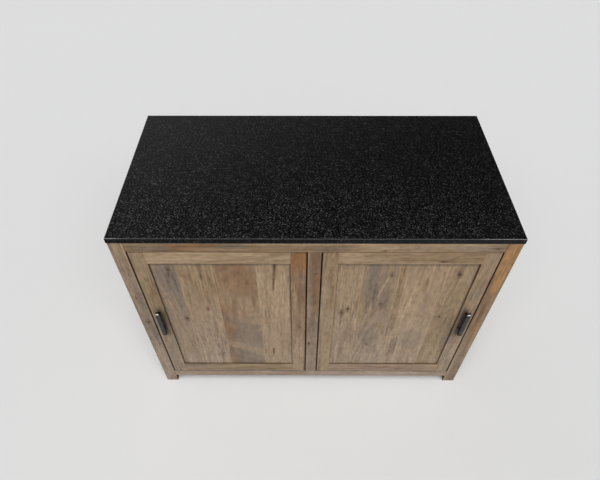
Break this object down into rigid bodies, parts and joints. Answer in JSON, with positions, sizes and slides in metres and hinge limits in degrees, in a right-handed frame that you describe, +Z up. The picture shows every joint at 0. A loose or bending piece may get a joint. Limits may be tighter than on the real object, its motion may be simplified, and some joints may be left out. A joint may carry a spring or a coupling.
{
  "type": "kitchen base cabinet",
  "caption": "Straight kitchen base cabinet of framed wood with a stone worktop and inset panelled doors that hang back to back at a centre stile.",
  "frame": {"origin": "on the floor, in the middle of the width and of the whole depth, from the handles' fronts to the back", "axes": "+X to the right along the front, +Y from the doors to the back, +Z up"},
  "size_m": [1.2, 0.621, 0.9],
  "materials": {
    "black_granite": "polished",
    "carcase_wood": "matte",
    "door_frame_wood": "matte",
    "door_panel_wood": "matte",
    "side_panel_wood": "matte",
    "inside_wood": "matte",
    "blackened_iron": "satin",
    "zinc_steel": "satin",
    "catch_plastic": "matte",
    "glide_nylon": "matte",
    "washer_nylon": "matte",
    "clear_silicone": "satin"
  },
  "bodies": {
    "cabinet": {"back_bottom_rail": "carcase_wood", "back_cleat": "inside_wood", "back_left_post": "carcase_wood", "back_panel": "inside_wood", "back_right_post": "carcase_wood", "back_top_rail": "carcase_wood", "bottom_board": "inside_wood", "catch_screws": "zinc_steel", "centre_stile": "carcase_wood", "foot_glides": "glide_nylon", "frame_hinge_screws": "zinc_steel", "front_bottom_rail": "carcase_wood", "front_cleat": "inside_wood", "front_left_post": "carcase_wood", "front_right_post": "carcase_wood", "front_top_rail": "carcase_wood", "granite_worktop": "black_granite", "left_bottom_pivot_pin_leaf": "zinc_steel", "left_cleat": "inside_wood", "left_magnetic_catch": "catch_plastic", "left_side_bottom_rail": "carcase_wood", "left_side_panel": "side_panel_wood", "left_side_top_rail": "carcase_wood", "left_top_pivot_pin_leaf": "zinc_steel", "left_top_stretcher": "inside_wood", "pivot_washers": "washer_nylon", "right_bottom_pivot_pin_leaf": "zinc_steel", "right_cleat": "inside_wood", "right_magnetic_catch": "catch_plastic", "right_side_bottom_rail": "carcase_wood", "right_side_panel": "side_panel_wood", "right_side_top_rail": "carcase_wood", "right_top_pivot_pin_leaf": "zinc_steel", "right_top_stretcher": "inside_wood", "shelf": "inside_wood", "shelf_pegs": "zinc_steel", "worktop_pads": "clear_silicone"},
    "left_door": {"left_bottom_pivot_door_leaf": "zinc_steel", "left_catch_strike": "zinc_steel", "left_door_bottom_rail": "door_frame_wood", "left_door_handle_stile": "door_frame_wood", "left_door_hinge_screws": "zinc_steel", "left_door_hinge_stile": "door_frame_wood", "left_door_panel": "door_panel_wood", "left_door_top_rail": "door_frame_wood", "left_handle": "blackened_iron", "left_handle_screws": "zinc_steel", "left_top_pivot_door_leaf": "zinc_steel"},
    "right_door": {"right_bottom_pivot_door_leaf": "zinc_steel", "right_catch_strike": "zinc_steel", "right_door_bottom_rail": "door_frame_wood", "right_door_handle_stile": "door_frame_wood", "right_door_hinge_screws": "zinc_steel", "right_door_hinge_stile": "door_frame_wood", "right_door_panel": "door_panel_wood", "right_door_top_rail": "door_frame_wood", "right_handle": "blackened_iron", "right_handle_screws": "zinc_steel", "right_top_pivot_door_leaf": "zinc_steel"}
  },
  "joints": [
    {"name": "left_door_hinge", "type": "hinge", "parent": "cabinet", "child": "left_door", "pos_m": [-0.044, -0.2785, 0.462], "axis": [0, 0, 1], "range_deg": [0, 90]},
    {"name": "right_door_hinge", "type": "hinge", "parent": "cabinet", "child": "right_door", "pos_m": [0.044, -0.2785, 0.462], "axis": [0, 0, -1], "range_deg": [0, 90]}
  ]
}
